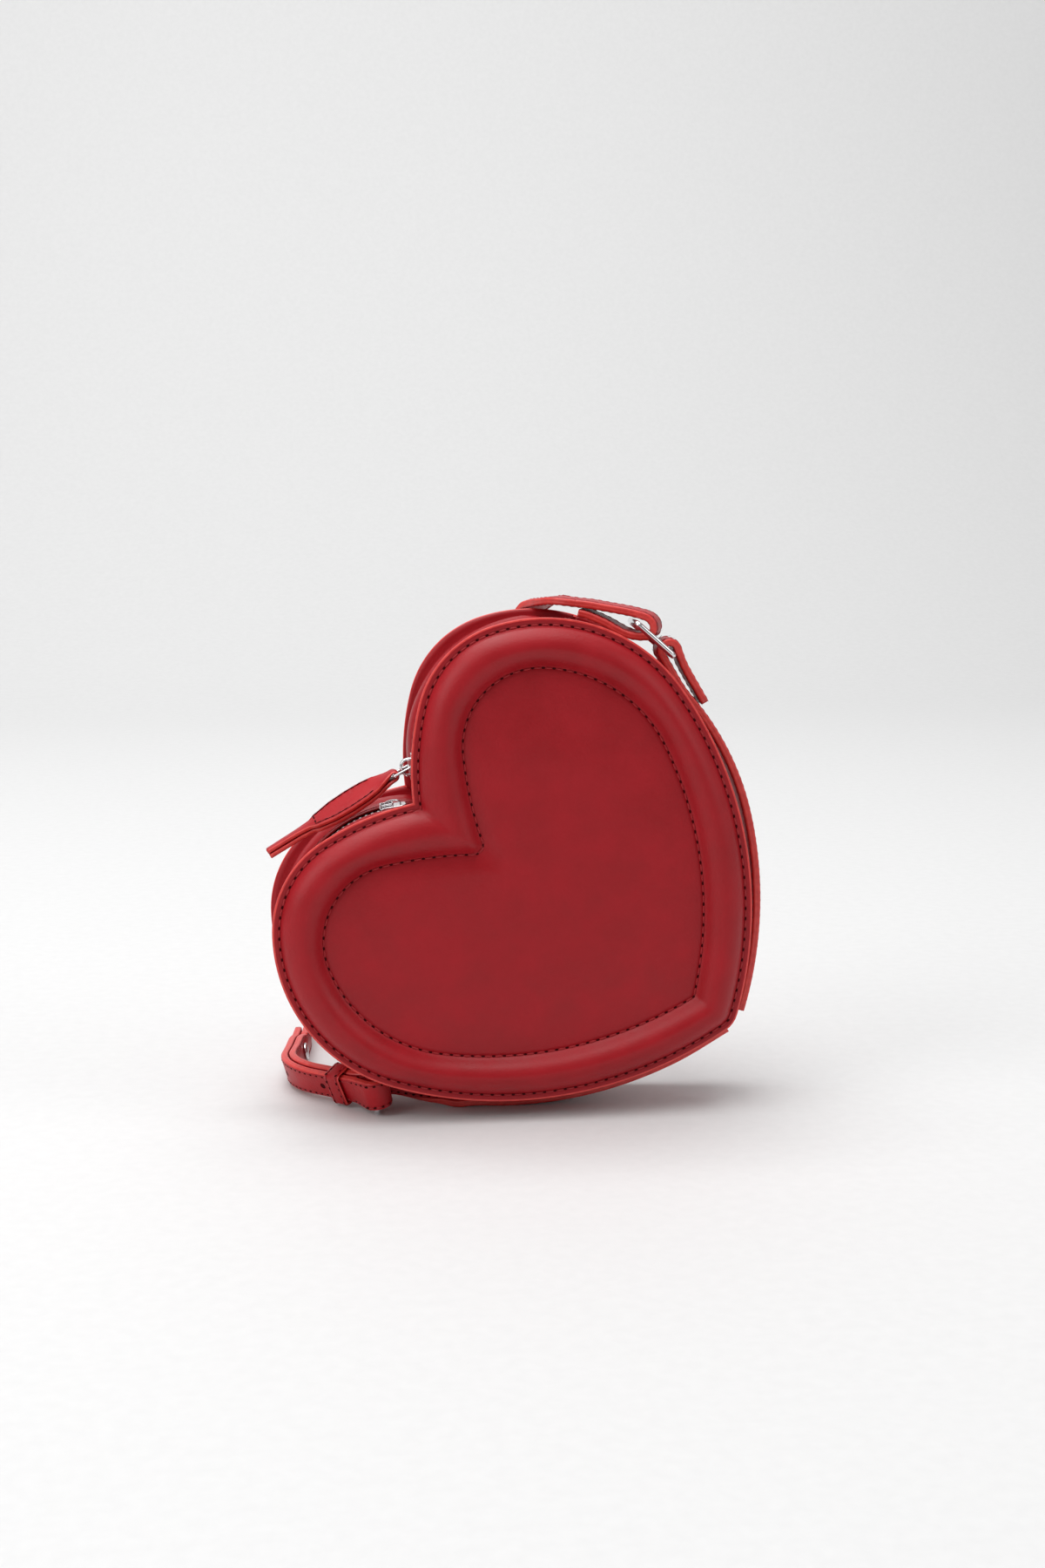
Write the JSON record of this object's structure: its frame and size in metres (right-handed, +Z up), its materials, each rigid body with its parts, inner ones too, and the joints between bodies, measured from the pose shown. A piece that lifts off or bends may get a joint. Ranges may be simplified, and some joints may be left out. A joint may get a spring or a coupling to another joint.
{
  "type": "heart shaped purse",
  "caption": "Heart shaped leather shoulder purse, padded front, zip over both lobes with a leather pull, ringed side bands and a shoulder strap gathered behind.",
  "frame": {"origin": "middle of the part's outline at the level of the floor it stands on", "axes": "+Z up, +Y from the padded front to the back, +X towards the side where the heart's tip points"},
  "size_m": [0.1988, 0.1664, 0.2052],
  "materials": {
    "red_leather": "smooth semi-matte, fine grain",
    "bright_metal": "polished plating",
    "zip_metal": "polished teeth",
    "zip_tape": "woven tape",
    "lining_cloth": "woven cloth",
    "stiff_board": "pressed board",
    "foam": "open foam"
  },
  "bodies": {
    "bag": {"back_board": "stiff_board", "back_lining": "lining_cloth", "back_panel": "red_leather", "gusset_lining": "lining_cloth", "lower_gusset": "red_leather", "side_band_left": "red_leather", "side_band_right": "red_leather", "strap_floor_coil": "red_leather", "strap_left_lead": "red_leather", "strap_over_lobe": "red_leather", "zip_band_back_left": "red_leather", "zip_band_back_right": "red_leather", "zip_end_patch_left": "red_leather", "zip_end_patch_right": "red_leather", "zip_stop_left": "zip_metal", "zip_stop_right": "zip_metal", "zip_tape_back_left": "zip_tape", "zip_tape_back_right": "zip_tape", "zip_teeth_back_left": "zip_metal", "zip_teeth_back_right": "zip_metal"},
    "front": {"front_bead_foam": "foam", "front_board": "stiff_board", "front_lining": "lining_cloth", "front_panel": "red_leather", "zip_band_front_left": "red_leather", "zip_band_front_right": "red_leather", "zip_tape_front_left": "zip_tape", "zip_tape_front_right": "zip_tape", "zip_teeth_front_left": "zip_metal", "zip_teeth_front_right": "zip_metal"},
    "slider_right": {"slider_right": "bright_metal", "slider_bridge_right": "bright_metal"},
    "pull_link": {"pull_link": "bright_metal"},
    "leather_pull": {"leather_pull": "red_leather"},
    "slider_left": {"slider_left": "bright_metal", "slider_bridge_left": "bright_metal"},
    "short_pull": {"short_pull": "bright_metal"},
    "ring_right": {"ring_right": "bright_metal", "strap_right_end": "red_leather"},
    "ring_left": {"ring_left": "bright_metal", "strap_left_end": "red_leather", "stud_screw": "bright_metal", "stud_cap": "bright_metal"},
    "strap_keeper": {"strap_keeper": "red_leather"}
  },
  "joints": [
    {"name": "front_open", "type": "hinge", "parent": "bag", "child": "front", "pos_m": [0.08482, -0.0534, 0.0361], "axis": [0.5845, 0, 0.8114], "range_deg": [0, 8], "deforming": ["lower_gusset", "gusset_lining"]},
    {"name": "slider_right_run", "type": "hinge", "parent": "bag", "child": "slider_right", "pos_m": [0.01022, -0.0534, 0.14469], "axis": [0, 1, 0], "range_deg": [0, 94]},
    {"name": "slider_left_run", "type": "hinge", "parent": "bag", "child": "slider_left", "pos_m": [-0.0418, -0.0534, 0.07248], "axis": [0, -1, 0], "range_deg": [0, 104]},
    {"name": "link_swing", "type": "hinge", "parent": "slider_right", "child": "pull_link", "pos_m": [-0.04241, -0.0534, 0.13894], "axis": [0, 1, 0], "range_deg": [0, 45]},
    {"name": "pull_swing", "type": "hinge", "parent": "pull_link", "child": "leather_pull", "pos_m": [-0.04879, -0.0534, 0.13559], "axis": [0, 1, 0], "range_deg": [0, 25]},
    {"name": "short_pull_swing", "type": "hinge", "parent": "slider_left", "child": "short_pull", "pos_m": [-0.04933, -0.0534, 0.12453], "axis": [0, 1, 0], "range_deg": [0, 100]},
    {"name": "ring_right_swing", "type": "hinge", "parent": "bag", "child": "ring_right", "pos_m": [0.06175, -0.0534, 0.18259], "axis": [0, 1, 0], "range_deg": [0, 25], "deforming": ["strap_over_lobe"]},
    {"name": "ring_left_swing", "type": "hinge", "parent": "bag", "child": "ring_left", "pos_m": [-0.05819, -0.04446, 0.00966], "axis": [-0.0523, -0.0018, 0.9986], "range_deg": [0, 10], "deforming": ["strap_left_lead"]},
    {"name": "keeper_slide", "type": "slide", "parent": "ring_left", "child": "strap_keeper", "axis": [0.7067, -0.7067, 0.0333], "range_m": [-0.008, 0.002]}
  ]
}
